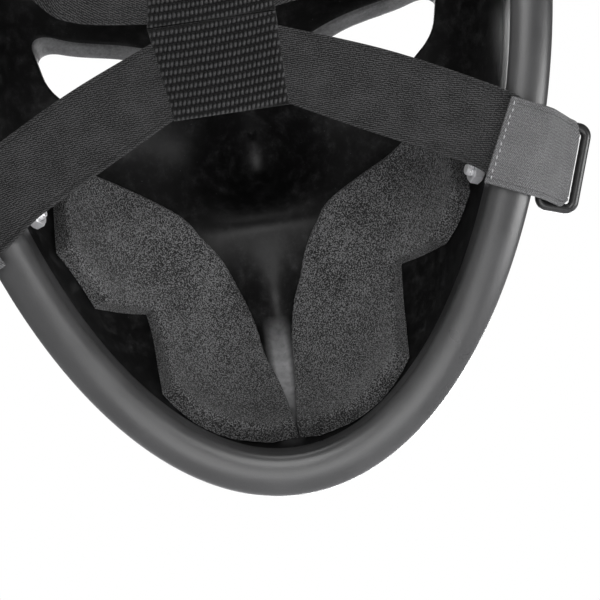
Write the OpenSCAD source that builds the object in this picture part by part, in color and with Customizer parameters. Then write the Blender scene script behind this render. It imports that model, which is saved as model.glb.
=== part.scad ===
// Protective full-face mask: a thick moulded shell with a rubber edge trim, foam pads inside,
// and an elastic head harness on four hinged strap slides.
// Frame: +Z up as worn, outer face towards -Y, the wearer's left at +X. The origin is the
// middle of the rim plane, where the head goes in.

/* [Shell] */
// Greatest width over the edge trim
mask_w = 199; // [194:1:204]
// Height over the edge trim
mask_h = 250; // [246:1:254]
// Height of the widest point above the chin edge
widest_h = 165; // [162:1:168]
// Depth of the plain bowl, rim plane to mid wall
bowl_d = 72; // [70:1:75]
// Wall thickness
wall_t = 8; // [7:0.5:8.5]
// How far the chin edge sits forward of the widest point
chin_forward = 12; // [9:1:14]
// How far the forehead edge sits forward of the widest point
brow_forward = 10; // [7:1:12]
// How far the nose stands out of the bowl
nose_d = 20; // [17:1:22]

/* [Eye openings] */
// Distance from the middle plane to the outer circle's centre
eye_outer_x = 60.5; // [60:0.5:61]
// Height of the outer circle's centre above the rim centre
eye_outer_z = 28; // [27:0.5:28.5]
// Downward slant of the cut for each millimetre forwards
eye_slant = 0.66; // [0.56:0.02:0.7]

/* [Edge trim] */
// Width of the trim across the wall
trim_w = 13.5; // [13:0.25:14]
// How far the trim's crown stands past the shell's edge
trim_crown = 3.6; // [3:0.1:4]

/* [Pads] */
// Thickness of the foam pads
pad_t = 6; // [5:0.5:7]
// Glue line behind each pad
glue_t = 0.3; // [0.25:0.05:0.4]

/* [Harness] */
// Width of the straps, drawn a little narrow by their pull
strap_w = 25; // [24:0.5:26]
// Width of the straps' relaxed ends
tab_w = 27; // [26:0.5:28]
// Thickness of the elastic straps
strap_t = 1.3; // [1.2:0.1:1.4]
// Width of the back patch
patch_w = 37; // [35:1:39]
// Height of each half of the back patch
patch_half_h = 28.4; // [27:0.2:29]
// Thickness of the back patch
patch_t = 4.2; // [3.6:0.2:4.6]
// Sideways place of the back patch, towards the wearer's left
patch_x = 5; // [3:1:6]
// Height of the slit between the patch's halves
patch_slit_z = 22; // [20:1:24]
// Distance of the patch behind the rim plane
patch_y = 6; // [5:0.5:7]

/* [Hardware] */
// Wire diameter of the strap slides
wire_d = 3.2; // [3.1:0.1:3.3]
// Clear width inside a slide, along its bars
slide_inner = 22; // [22:0.2:23]
// Distance from a slide's knuckle bar to its middle bar
knuckle_pitch = 5.9; // [5.9:0.1:6.2]
// Distance from a slide's middle bar to its outer bar
bar_pitch = 4.9; // [4.9:0.1:5.2]
// Sheet thickness of the anchor plates
plate_t = 1.1; // [1.05:0.05:1.15]
// Width of the anchor plates
plate_w = 19; // [17:0.5:19.5]
// Shank diameter of the anchor screws
screw_d = 4; // [3.8:0.1:4.2]

/* [Hidden] */
SIDES = ["left", "right"];
LEVELS = ["lower", "upper"];
FITTINGS = ["anchor_plate", "anchor_screw", "anchor_nut", "strap_slide", "strap_end"];

shell_black = [0.06, 0.06, 0.065];
rubber_black = [0.16, 0.16, 0.17];
foam_grey = [0.27, 0.27, 0.28];
elastic_grey = [0.22, 0.22, 0.23];
loop_grey = [0.45, 0.45, 0.46];
webbing_black = [0.14, 0.14, 0.15];
steel_black = [0.08, 0.08, 0.09];
steel_bright = [0.75, 0.75, 0.77];

// Outline of the rim: z follows |sin|^bend, x follows cos, so each half is a superellipse
widest_z = widest_h - mask_h / 2;
half_w = (mask_w - trim_w) / 2;
reach_low = widest_h - trim_w / 2;
reach_top = mask_h - widest_h - trim_w / 2;
bend_low = 2 / 1.7;
bend_top = 2 / 2.3;
// The bowl's rings shrink towards this height on the middle plane
pole_z = -5;
bowl_power = 2.5;

// Shell grid: angles round the rim, rings from the pole to the rim
angles = 80;
rings = 18;
lap_ring = rings - 2;
function angle_at(i) = 360 * i / angles;
function ring_at(j) = sin(90 * j / rings);

// Relief of the face on the bowl
nose_top_z = 24;
nose_tip_z = -18;
nose_base_z = -40;

function clamp01(u) = min(1, max(0, u));
function ease(u) = let (c = clamp01(u)) c * c * (3 - 2 * c);
function bell(u) = exp(-u * u);

function nose(x, z) =
    let (down = ease((nose_top_z - z) / (nose_top_z - nose_tip_z)),
         under = ease((z - nose_base_z) / (nose_tip_z - nose_base_z)))
    nose_d * down * under * bell(x / (14 + 6 * down));
function brow(x, z) = 5 * bell((z - 48) / 12) * bell(x / 75);
function keel(x, z) = 7 * bell(x / 13) * ease((-36 - z) / 30);
function socket(x, z) = 12 * bell((abs(x) - 38) / 24) * bell((z - 18) / 16);
function relief(x, z) = nose(x, z) + brow(x, z) + keel(x, z) - socket(x, z);

function rim_y(a) = -(sin(a) < 0 ? chin_forward : brow_forward) * pow(sin(a), 2);
function rim_point(a) =
    let (up = sin(a) >= 0,
         lift = pow(abs(sin(a)), up ? bend_top : bend_low))
    [half_w * cos(a), widest_z + (up ? reach_top : -reach_low) * lift];

// Mid wall of the shell at angle a of ring s, where s is 0 at the pole and 1 at the rim
function mid(a, s) =
    let (r = rim_point(a),
         x = r.x * s,
         z = pole_z + (r.y - pole_z) * s,
         bowl = bowl_d * sqrt(max(0, 1 - pow(s, bowl_power))))
    [x, rim_y(a) * s * s - bowl - relief(x, z) * (1 - pow(s, 8)), z];

function unit(v) = v / norm(v);
function wall_normal(a, s) =
    let (c = min(max(s, 0.05), 0.99),
         along = mid(a, c + 0.008) - mid(a, c - 0.008),
         around = mid(a + 1, c) - mid(a - 1, c))
    unit(cross(along, around));
function skin(a, s, off) = mid(a, s) + off * wall_normal(a, s);
function to_edge(a) = unit(mid(a, 1) - mid(a, ring_at(rings - 1)));

// The ring and angle of the shell at a given x and z
function ring_miss(x, z, s) =
    let (dz = pole_z + (z - pole_z) / s - widest_z)
    pow(x / s / half_w, 2)
    + (dz >= 0 ? pow(dz / reach_top, 2 / bend_top) : pow(-dz / reach_low, 2 / bend_low)) - 1;
function ring_of(x, z, low = 0.01, high = 1, steps = 16) =
    let (m = (low + high) / 2)
    steps == 0 ? m
    : ring_miss(x, z, m) > 0 ? ring_of(x, z, m, high, steps - 1)
    : ring_of(x, z, low, m, steps - 1);
function angle_of(x, z, s) =
    (pole_z + (z - pole_z) / s >= widest_z ? 1 : -1) * acos(max(-1, min(1, x / s / half_w)));
// Pads stay below this ring, clear of the trim's legs
pad_ring = 0.974;
function on_wall(x, z, off) =
    let (s = ring_of(x, z)) skin(angle_of(x, z, s), min(s, pad_ring), off);

// Faces of a grid of points, rows by cols; flip turns them over, loop joins the last column
function grid_faces(rows, cols, first = 0, flip = false, loop = false) = [
    for (i = [0:rows - 2]) for (j = [0:(loop ? cols - 1 : cols - 2)])
        let (k = (j + 1) % cols,
             a = first + i * cols + j, b = first + i * cols + k,
             c = first + (i + 1) * cols + k, d = first + (i + 1) * cols + j)
        each (flip ? [[a, d, c], [a, c, b]] : [[a, b, c], [a, c, d]])];

// Closed sheet between two grids of rows by cols points, given row by row
module slab(front, back, rows, cols) {
    n = rows * cols;
    border = concat(
        [for (j = [0:cols - 1]) j],
        [for (i = [1:rows - 1]) i * cols + cols - 1],
        [for (j = [cols - 2:-1:0]) (rows - 1) * cols + j],
        [for (i = [rows - 2:-1:1]) i * cols]);
    m = len(border);
    polyhedron(
        concat(front, back),
        concat(
            grid_faces(rows, cols),
            grid_faces(rows, cols, n, true),
            [for (q = [0:m - 1]) let (a = border[q], b = border[(q + 1) % m])
                each [[b, a, a + n], [b, a + n, b + n]]]));
}

module shell_wall() {
    last = rings * angles;
    function side(off) = [
        for (j = [1:rings]) for (i = [0:angles - 1]) skin(angle_at(i), ring_at(j), off)];
    outer = side(wall_t / 2);
    inner = side(-wall_t / 2);
    pole = mid(0, 0);
    rim_o = (rings - 1) * angles;
    rim_i = last + rim_o;
    polyhedron(
        concat(outer, inner, [pole - [0, wall_t / 2, 0], pole + [0, wall_t / 2, 0]]),
        concat(
            grid_faces(rings, angles, 0, false, true),
            grid_faces(rings, angles, last, true, true),
            [for (i = [0:angles - 1]) let (k = (i + 1) % angles) each [
                [2 * last, k, i],
                [2 * last + 1, last + i, last + k],
                [rim_o + i, rim_o + k, rim_i + k],
                [rim_o + i, rim_i + k, rim_i + i]]]));
}

// Slanted prism through one eye opening
module eye_cut() {
    slant = [[1, 0, 0, 0], [0, 1, 0, 0], [0, eye_slant, 1, 0]];
    cut_front = -110;
    cut_back = -20;
    surface_y = -50;
    translate([0, 0, -eye_slant * surface_y]) multmatrix(slant)
        translate([0, cut_back, 0]) rotate([90, 0, 0]) linear_extrude(cut_back - cut_front) hull() {
            translate([eye_outer_x, eye_outer_z]) circle(6.2, $fn = 32);
            translate([eye_outer_x - 5.5, eye_outer_z - 7.5]) circle(10, $fn = 32);
            translate([eye_outer_x - 16.5, eye_outer_z - 15]) circle(9, $fn = 32);
            translate([22, eye_outer_z - 7]) circle(6.5, $fn = 32);
        }
}

// The shell keeps one fine mesh, so its cuts are made before it is measured with resize
module shell() {
    color(shell_black) resize([0, 0, 0]) difference() {
        shell_wall();
        for (side = SIDES) mirror([side == "right" ? 1 : 0, 0, 0]) {
            eye_cut();
            for (l = LEVELS) at_screw(l, side)
                cylinder(d = screw_d + 0.4, h = 3 * wall_t, center = true, $fn = 24);
        }
    }
}

// Rubber channel pushed over the shell's edge; its legs follow the wall down to lap_ring
module edge_trim() {
    slot = wall_t / 2 + 0.1;
    full = trim_w / 2;
    low = ring_at(lap_ring);
    mid_leg = ring_at(rings - 1);
    function crown(a, off, lift) = skin(a, 1, off) + lift * to_edge(a);
    function section(a) = [
        skin(a, low, full - 1), skin(a, mid_leg, full), crown(a, full - 0.1, 0),
        crown(a, 0.78 * full, 0.6 * trim_crown), crown(a, 0.42 * full, 0.92 * trim_crown),
        crown(a, 0, trim_crown), crown(a, -0.42 * full, 0.92 * trim_crown),
        crown(a, -0.78 * full, 0.6 * trim_crown), crown(a, 0.1 - full, 0),
        skin(a, mid_leg, -full), skin(a, low, 1 - full), skin(a, low, -slot),
        skin(a, mid_leg, -slot), crown(a, -slot, 0.1), crown(a, slot, 0.1),
        skin(a, mid_leg, slot), skin(a, low, slot)];
    sides = len(section(0));
    color(rubber_black) polyhedron(
        [for (i = [0:angles - 1]) each section(angle_at(i))],
        [for (i = [0:angles - 1]) for (j = [0:sides - 1])
            let (k = (j + 1) % sides, n = (i + 1) % angles,
                 a = i * sides + j, b = i * sides + k, c = n * sides + k, d = n * sides + j)
            each [[a, c, b], [a, d, c]]]);
}

// Foam pad on the inside of the wall, from rows of inner and outer edge points [z, x] on the mid
// wall; its sides stand square to the wall
module wall_pad(inner_edge, outer_edge, low, high, rows, cols) {
    back_off = -(wall_t / 2 + glue_t);
    spots = [for (i = [0:rows - 1]) for (j = [0:cols - 1])
        let (z = low + (high - low) * i / (rows - 1),
             x = lookup(z, inner_edge) + (lookup(z, outer_edge) - lookup(z, inner_edge)) * j / (cols - 1))
        [x, z]];
    slab([for (p = spots) on_wall(p.x, p.y, back_off - pad_t)],
         [for (p = spots) on_wall(p.x, p.y, back_off)], rows, cols);
}

// Cheek and chin pads: a band beside the middle plane with a lobe over the cheek and a notch
// under it; the left one is glued a little further out at the mouth
pad_low = -113;
pad_high = -14;
left_inner = [[-113, 0.4], [-105, 3.4], [-93, 9], [-80, 11.4], [-68, 13.8], [-55, 16.8], [-46, 19],
    [-40, 24], [-30, 35.5], [-21, 47], [-17, 57], [-14, 62]];
right_inner = [[-113, 4.2], [-93, 6], [-82, 6.8], [-70, 9.2], [-59, 12.3], [-49, 14], [-42, 16.6],
    [-37, 23.5], [-31, 32.5], [-24, 46], [-20, 55], [-14, 62]];
function outer_edge(notch_z) = [[-113, 9], [-110, 21], [-104, 31.5], [-97, 38], [-91, 42], [-84, 44],
    [-72, 45], [notch_z - 1.5, 45.5], [notch_z, 49], [notch_z + 1, 56], [notch_z + 4, 62],
    [-50, 67], [-40, 70.8], [-26, 71], [-20, 70], [-14, 66]];

module cheek_pads(side) {
    color(foam_grey) {
        if (side == "left")
            wall_pad(left_inner, outer_edge(-63.5), pad_low, pad_high, 34, 9);
        if (side == "right")
            mirror([1, 0, 0]) wall_pad(right_inner, outer_edge(-59), pad_low, pad_high, 34, 9);
    }
}

module forehead_pad() {
    edge = [[80, 46], [84, 52], [98, 50], [106, 38], [109, 26]];
    color(foam_grey) wall_pad([for (e = edge) [e[0], -e[1]]], edge, 80, 109, 8, 15);
}

// Frames of the four strap anchors, built for the wearer's left and mirrored for the right
anchor_angle = [-30.8, 27];
screw_ring = 0.953;
function anchor_of(level) = anchor_angle[level == "lower" ? 0 : 1];
function frame_of(origin, u, v) =
    let (w = cross(u, v))
    [[u.x, v.x, w.x, origin.x], [u.y, v.y, w.y, origin.y], [u.z, v.z, w.z, origin.z], [0, 0, 0, 1]];

// Edge frame: u out of the wall, v past the edge, w along the rim; origin on the shell's edge
function rim_tangent(a) = unit(mid(a + 5, 1) - mid(a - 5, 1));
function edge_frame(a) =
    let (u = wall_normal(a, 0.99), t = rim_tangent(a), w = unit(t - (t * u) * u))
    frame_of(mid(a, 1), u, cross(w, u));

// Middle of the plate's foot: x towards the edge, z out of the wall, origin on the outer face
module at_foot(level) {
    a = anchor_of(level);
    n = wall_normal(a, screw_ring);
    t = mid(a, screw_ring + 0.01) - mid(a, screw_ring - 0.01);
    v = unit(t - (t * n) * n);
    multmatrix(frame_of(skin(a, screw_ring, wall_t / 2), v, cross(n, v))) children();
}

// Screw axis along z; the lower screws don't go through the middle of their plates
function screw_drop(level, side) = level == "upper" ? 0 : side == "left" ? -2.5 : 4;
module at_screw(level, side) {
    at_foot(level) translate([0, -screw_drop(level, side), 0]) children();
}

knuckle_r = wire_d / 2 + 0.1 + plate_t;
knuckle_u = trim_w / 2 + knuckle_r + 0.6;
knuckle_v = -3.5;

// The slide's own frame: x across the bars away from the knuckle, z along the bars
module at_knuckle(level) {
    multmatrix(edge_frame(anchor_of(level))) translate([knuckle_u, knuckle_v, 0]) children();
}

module link_strip(level, x, y) {
    at_knuckle(level) translate([x, y, -plate_w / 2]) cube([plate_t, 1, plate_w]);
}

// Anchor plate: a foot under the screw head, a link past the trim and a knuckle round the bar,
// kept as one mesh like the shell
module anchor_plate(level, side) {
    foot_l = 16;
    color(steel_black) resize([0, 0, 0]) difference() {
        union() {
            at_foot(level) translate([-foot_l / 2, -plate_w / 2, 0.05]) cube([foot_l, plate_w, plate_t]);
            at_knuckle(level) cylinder(r = knuckle_r, h = plate_w, center = true, $fn = 40);
            hull() {
                at_foot(level) translate([foot_l / 2 - 1, -plate_w / 2, 0.05]) cube([1, plate_w, plate_t]);
                link_strip(level, -1.75, -9);
            }
            hull() {
                link_strip(level, -1.75, -9);
                link_strip(level, -knuckle_r, -1);
            }
        }
        at_knuckle(level) cylinder(d = wire_d + 0.2, h = plate_w + 2, center = true, $fn = 40);
        at_screw(level, side) cylinder(d = screw_d + 0.4, h = 10, center = true, $fn = 32);
    }
}

nut_h = 3.2;
nut_across = 7;
head_h = 2.4;
head_d = 8.5;
nut_gap = 0.6;

// Pan-head screw from outside, long enough to stand past its nut
module anchor_screw(level, side) {
    tip = wall_t + nut_gap + nut_h + 2;
    color(steel_bright) at_screw(level, side) difference() {
        union() {
            translate([0, 0, plate_t + 0.05]) intersection() {
                cylinder(d = head_d, h = head_h, $fn = 40);
                translate([0, 0, head_h - 6.4]) sphere(r = 6.4, $fn = 48);
            }
            translate([0, 0, -tip]) cylinder(d = screw_d, h = tip + plate_t + 0.1, $fn = 32);
        }
        translate([0, 0, plate_t + head_h - 1.2]) cylinder(d = 2.9, h = 3, $fn = 6);
    }
}

module anchor_nut(level, side) {
    color(steel_bright) at_screw(level, side) translate([0, 0, -wall_t - nut_gap - nut_h])
        difference() {
            cylinder(d = nut_across / cos(30), h = nut_h, $fn = 6);
            translate([0, 0, -1]) cylinder(d = screw_d + 0.1, h = nut_h + 2, $fn = 32);
        }
}

// Three-bar wire slide: a rounded ring and a middle bar, its first bar in the knuckle
slide_l = slide_inner + wire_d;
corner_r = 2.6;
module wire_bar(x, l) {
    translate([x, 0, 0]) cylinder(d = wire_d, h = l, center = true, $fn = 24);
}
module strap_slide(level) {
    ring_x = knuckle_pitch + bar_pitch;
    color(steel_black) at_knuckle(level) {
        wire_bar(0, slide_l - 2 * corner_r);
        wire_bar(knuckle_pitch, slide_l);
        wire_bar(ring_x, slide_l - 2 * corner_r);
        for (m = [0, 1]) mirror([0, 0, m]) {
            translate([corner_r, 0, slide_l / 2]) rotate([0, 90, 0])
                cylinder(d = wire_d, h = ring_x - 2 * corner_r, $fn = 24);
            for (x = [corner_r, ring_x - corner_r])
                translate([x, 0, slide_l / 2 - corner_r]) rotate([-90, 0, 0])
                    rotate([0, 0, x == corner_r ? 180 : -90]) rotate_extrude(angle = 90, $fn = 32)
                        translate([corner_r, 0]) circle(d = wire_d, $fn = 24);
        }
    }
}

// The lower straps cross the trim aslant. Where their middle line stands along the rim: [at the
// wall's edge, rise for each millimetre inwards], and the same for their folded ends in the slide
function strap_line(level, side) = level == "upper" ? [0, 0] : side == "left" ? [7.8, 0.27] : [3.7, 0.3];
function tab_line(level, side) = level == "upper" ? [0, 0] : side == "left" ? [3.2, 0.13] : [2.6, 0.1];

// End of the strap: round the slide's middle bar and back over itself, in the slide's frame.
// It is squeezed where it passes the slide and spreads out again towards its free end.
module strap_end(level, side) {
    bar_gap = wire_d / 2 + 0.1;
    free_l = level == "lower" && side == "left" ? 7 : 18.5;
    step_x = -5;
    step_y = trim_crown - knuckle_v + strap_t + 1.2;
    rise = step_y - bar_gap;
    squeezed_w = slide_inner - 1.4;
    line = tab_line(level, side);
    color(loop_grey) at_knuckle(level) union() {
        translate([0, 0, line[0] / 10]) linear_extrude(squeezed_w, center = true) union() {
            translate([knuckle_pitch, 0]) difference() {
                circle(bar_gap + strap_t, $fn = 48);
                circle(bar_gap, $fn = 48);
                polygon([[0, 0], [-9, -3], [-9, 9], [0, 9]]);
            }
            polygon([
                [knuckle_pitch, bar_gap], [knuckle_pitch, bar_gap + strap_t],
                [step_x, step_y + strap_t], [step_x, step_y], [-1, bar_gap + 0.72 * rise]]);
        }
        translate([0, step_y, line[0]]) rotate([0, atan(line[1]), 0])
            translate([-free_l, 0, -tab_w / 2]) cube([free_l + step_x, strap_t, tab_w]);
    }
}

// Flat strap through stations [place, half width across]
module strap(stations) {
    last = len(stations) - 1;
    sides = 4;
    function way(i) = unit(stations[min(last, i + 1)][0] - stations[max(0, i - 1)][0]);
    function corners(i) =
        let (p = stations[i][0], w = stations[i][1], n = unit(cross(w, way(i))) * strap_t / 2)
        [p - w - n, p + w - n, p + w + n, p - w + n];
    color(elastic_grey) polyhedron(
        [for (i = [0:last]) each corners(i)],
        concat(
            [for (i = [0:last - 1]) for (j = [0:sides - 1])
                let (k = (j + 1) % sides,
                     a = i * sides + j, b = i * sides + k, c = b + sides, d = a + sides)
                each [[a, b, c], [a, c, d]]],
            [[2, 1, 0], [3, 2, 0]],
            [let (e = last * sides) each [[e, e + 1, e + 2], [e, e + 2, e + 3]]]));
}

// The strap leaves the patch along its edge, runs to its slide and lies flat over the trim. An
// upper strap leaves the patch level and then bends up.
strap_over = strap_t / 2 + 0.8;
module strap_run(level, side) {
    s = side == "left" ? 1 : -1;
    lower = level == "lower";
    f = edge_frame(anchor_of(level));
    line = strap_line(level, side);
    half_h = strap_w / 2 - 0.7;
    function along(u, v, w) = let (p = f * [u, v, w, 0]) [p.x, p.y, p.z];
    function at_edge(u, v) = let (p = f * [u, v, line[0] - line[1] * u, 1]) [p.x, p.y, p.z];
    function upright(lean) = unit([lean, 0, 1]) * strap_w / 2;
    half = unit(along(line[1], 0, 1)) * strap_w / 2;
    edge_lean = side == "left" ? (lower ? 1.6 : -1.6) : 0;
    start = [s * patch_x + patch_w / 2 + (lower ? 0.5 : 0.9), patch_y, lower ? 6.4 : 34.7];
    rest = at_edge(-14, trim_crown + strap_over);
    between = lower
        ? [[[(start.x + rest.x) / 2, patch_y - 0.5, start.z + (rest.z - start.z) * 0.47], upright(0.47)]]
        : [[start + [18, 0, 3.8], upright(-0.36)], [start + [26, -0.5, 10], upright(-0.75)]];
    mirror([s < 0 ? 1 : 0, 0, 0]) strap(concat(
        [[start, [edge_lean, 0, half_h]]],
        between,
        [[rest, half], [at_edge(-4, trim_crown + strap_over), half],
            [at_edge(4.5, trim_crown + strap_over - 1), half]]));
}

// One half of the back patch, a flat sleeve with rounded edges; its left edge leans out to the slit
patch_lean = 2;
module patch_half(z, slit_side) {
    r = patch_t / 2;
    color(webbing_black) translate([patch_x, patch_y, z]) hull()
        for (m = [-1, 1]) for (n = [-1, 1])
            translate([
                m * (patch_w / 2 - r) + (m > 0 ? n * slit_side * patch_lean : 0), 0,
                n * (patch_half_h / 2 - r)])
                sphere(r = r, $fn = 16);
}
module patch_lower() { patch_half(patch_slit_z - patch_half_h / 2 - 0.2, 1); }
module patch_upper() { patch_half(patch_slit_z + patch_half_h / 2 + 0.2, -1); }

module fitting(kind, level, side) {
    mirror([side == "right" ? 1 : 0, 0, 0]) {
        if (kind == "anchor_plate") anchor_plate(level, side);
        if (kind == "anchor_screw") anchor_screw(level, side);
        if (kind == "anchor_nut") anchor_nut(level, side);
        if (kind == "strap_slide") strap_slide(level);
        if (kind == "strap_end") strap_end(level, side);
    }
}

shell();
edge_trim();
forehead_pad();
patch_lower();
patch_upper();
for (s = SIDES) {
    cheek_pads(s);
    for (l = LEVELS) {
        strap_run(l, s);
        for (f = FITTINGS)
            fitting(f, l, s);
    }
}
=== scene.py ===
"""Looks of the full-face mask: its wall, edge trim, pads, elastic harness and hardware.

Shapes are in millimetres until mesh_object makes them, and the camera and lights are in metres. The
frame is the CAD's: +Z up as worn, outer face towards -Y, the wearer's left at +X, and the origin in
the middle of the rim plane.
"""

import math

import bmesh
import bpy
import numpy as np
from mathutils import Matrix, Vector


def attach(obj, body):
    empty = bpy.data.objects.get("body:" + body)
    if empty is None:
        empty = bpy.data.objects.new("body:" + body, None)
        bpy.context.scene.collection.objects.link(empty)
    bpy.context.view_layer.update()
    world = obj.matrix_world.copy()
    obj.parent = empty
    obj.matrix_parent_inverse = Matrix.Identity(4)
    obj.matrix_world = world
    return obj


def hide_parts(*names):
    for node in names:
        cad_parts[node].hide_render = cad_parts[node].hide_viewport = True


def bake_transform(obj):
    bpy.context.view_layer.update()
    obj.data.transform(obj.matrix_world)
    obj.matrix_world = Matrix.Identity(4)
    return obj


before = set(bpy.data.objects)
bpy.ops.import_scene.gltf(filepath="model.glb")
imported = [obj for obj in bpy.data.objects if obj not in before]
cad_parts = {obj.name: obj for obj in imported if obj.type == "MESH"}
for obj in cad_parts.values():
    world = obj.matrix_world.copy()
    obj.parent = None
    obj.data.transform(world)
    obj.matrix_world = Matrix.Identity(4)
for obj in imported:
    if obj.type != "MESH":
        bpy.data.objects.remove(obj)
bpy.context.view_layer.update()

MM = 0.001
SIDES = ("left", "right")
LEVELS = ("lower", "upper")

# Outline of the rim and the bowl behind it
HALF_W = 92.75
WIDEST_Z = 40
REACH_LOW = 158.25
REACH_TOP = 78.25
BEND_LOW = 2 / 1.7
BEND_TOP = 2 / 2.3
POLE_Z = -5
BOWL_D = 72
BOWL_POWER = 2.5
CHIN_FORWARD = 12
BROW_FORWARD = 10
WALL_T = 8

# Relief of the face
NOSE_D = 20
NOSE_TOP_Z = 24
NOSE_TIP_Z = -18
NOSE_BASE_Z = -40
# Middle of the paler strip painted inside the chin keel as a painted highlight
KEEL_HIGHLIGHT_X = 1.2
KEEL_HIGHLIGHT_Z = -90

# Eye openings: circles (x, z, radius) whose hull is cut through the wall along a slant
EYE_CIRCLES = ((60.5, 28, 6.2), (55, 20.5, 10), (44, 13, 9), (22, 21, 6.5))
EYE_SLANT = 0.66
EYE_SURFACE_Y = -50
EYE_ROUND = 1.3

# Edge trim
TRIM_W = 13.5
TRIM_CROWN = 3.6
TRIM_SLOT = WALL_T / 2 + 0.1
TRIM_LEG_RING = math.sin(math.radians(80))

# Pads
PAD_T = 6
GLUE_T = 0.3
PAD_RING = 0.974

# Harness
STRAP_W = 25
TAB_W = 27
STRAP_T = 1.3
PATCH_W = 37
PATCH_HALF_H = 28.4
PATCH_T = 4.2
PATCH_X = 5
PATCH_SLIT_Z = 22
PATCH_Y = 6
PATCH_LEAN = 2
# Middle lines along the rim: where they stand at the wall's edge or in the slide, and how much
# they rise for each millimetre inwards
STRAP_LINE = {("lower", "left"): (7.8, 0.27), ("lower", "right"): (3.7, 0.3)}
TAB_LINE = {("lower", "left"): (3.2, 0.13), ("lower", "right"): (2.6, 0.1)}
TAB_LENGTH = {("lower", "left"): 7}

# Hardware
ANCHOR_ANGLE = {"lower": -30.8, "upper": 27}
SCREW_RING = 0.953
SCREW_D = 4
HOLE_GAP = 0.2
HOLE_ROUND = 0.3
SCREW_DROP = {("lower", "left"): -2.5, ("lower", "right"): 4}
WIRE_D = 3.2
SLIDE_INNER = 22
SLIDE_CORNER = 2.6
KNUCKLE_PITCH = 5.9
BAR_PITCH = 4.9
PLATE_T = 1.1
PLATE_W = 19
NUT_H = 3.2
NUT_ACROSS = 7
NUT_GAP = 0.6
HEAD_D = 8.5
HEAD_H = 2.4
KNUCKLE_U = TRIM_W / 2 + WIRE_D / 2 + 0.1 + PLATE_T + 0.6
KNUCKLE_V = -3.5


# -------------------- shape of the wall


def unit(v):
    return v / np.linalg.norm(v, axis=-1, keepdims=True)


def ease(u):
    c = np.clip(u, 0, 1)
    return c * c * (3 - 2 * c)


def bell(u):
    return np.exp(-u * u)


def relief(x, z):
    """How far the nose, brow and chin keel stand forwards of the bowl, less the eye sockets."""
    down = ease((NOSE_TOP_Z - z) / (NOSE_TOP_Z - NOSE_TIP_Z))
    under = ease((z - NOSE_BASE_Z) / (NOSE_TIP_Z - NOSE_BASE_Z))
    nose = NOSE_D * down * under * bell(x / (14 + 6 * down))
    brow = 5 * bell((z - 48) / 12) * bell(x / 75)
    keel = 7 * bell(x / 13) * ease((-36 - z) / 30)
    socket = 12 * bell((np.abs(x) - 38) / 24) * bell((z - 18) / 16)
    return nose + brow + keel - socket


def mid(a, s):
    """Mid wall at angle a, in degrees, of ring s, which is 0 at the pole and 1 at the rim."""
    a, s = np.broadcast_arrays(np.radians(a), s)
    rise = np.sin(a)
    up = rise >= 0
    lift = np.abs(rise) ** np.where(up, BEND_TOP, BEND_LOW)
    rim_z = WIDEST_Z + np.where(up, REACH_TOP, -REACH_LOW) * lift
    rim_y = -np.where(up, BROW_FORWARD, CHIN_FORWARD) * rise * rise
    x = HALF_W * np.cos(a) * s
    z = POLE_Z + (rim_z - POLE_Z) * s
    bowl = BOWL_D * np.sqrt(np.maximum(0, 1 - np.abs(s) ** BOWL_POWER))
    return np.stack([x, rim_y * s * s - bowl - relief(x, z) * (1 - s**8), z], -1)


def ring_of(x, z):
    """The ring that passes through x and z, by halving."""
    low, high = np.full(np.shape(x), 0.004), np.ones(np.shape(x))
    for _ in range(18):
        s = (low + high) / 2
        dz = POLE_Z + (z - POLE_Z) / s - WIDEST_Z
        reach = np.where(dz >= 0, REACH_TOP, REACH_LOW)
        power = np.where(dz >= 0, 2 / BEND_TOP, 2 / BEND_LOW)
        outside = (x / s / HALF_W) ** 2 + np.abs(dz / reach) ** power > 1
        low, high = np.where(outside, s, low), np.where(outside, high, s)
    return s


def angle_of(x, z, s):
    turn = np.degrees(np.arccos(np.clip(x / s / HALF_W, -1, 1)))
    return np.where(POLE_Z + (z - POLE_Z) / s >= WIDEST_Z, turn, -turn)


def mid_over(x, z):
    s = ring_of(x, z)
    return mid(angle_of(x, z, s), s)


def wall_normal(a, s):
    """Outward normal of the mid wall; near the pole it comes from steps in x and z."""
    a, s = np.broadcast_arrays(np.asarray(a, float), np.asarray(s, float))
    c = np.clip(s, 0.05, 0.99)
    step = 0.008
    n = unit(np.cross(mid(a, c + step) - mid(a, c - step), mid(a + 1, c) - mid(a - 1, c)))
    near = s < 0.09
    if near.any():
        p = mid(a[near], s[near])
        x, z = p[..., 0], p[..., 2]
        along_x = mid_over(x + 0.5, z) - mid_over(x - 0.5, z)
        along_z = mid_over(x, z + 0.5) - mid_over(x, z - 0.5)
        n[near] = unit(np.cross(along_x, along_z))
    return n


def skin(a, s, off):
    """Point at distance off outwards of the mid wall."""
    return mid(a, s) + np.asarray(off)[..., None] * wall_normal(a, s)


def on_wall(x, z, off):
    s = ring_of(x, z)
    return skin(angle_of(x, z, s), np.minimum(s, PAD_RING), off)


# -------------------- frames of the anchors


class Frame:
    """Origin and axes u, v, w of a part of one anchor, on the wearer's left."""

    def __init__(self, origin, u, v):
        self.origin = origin
        self.axes = np.array([u, v, np.cross(u, v)])

    def at(self, *uvw):
        return self.origin + np.array(uvw, float) @ self.axes

    def along(self, *uvw):
        return np.array(uvw, float) @ self.axes


def edge_frame(level):
    """u out of the wall, v past the edge, w along the rim; origin on the wall's edge."""
    a = ANCHOR_ANGLE[level]
    u = wall_normal(a, 0.99)
    t = unit(mid(a + 5, 1) - mid(a - 5, 1))
    w = unit(t - (t @ u) * u)
    return Frame(mid(a, 1), u, np.cross(w, u))


def knuckle_frame(level):
    """The slide's own: u across its bars, away from the knuckle, and w along them."""
    edge = edge_frame(level)
    return Frame(edge.at(KNUCKLE_U, KNUCKLE_V, 0), edge.axes[0], edge.axes[1])


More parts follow.
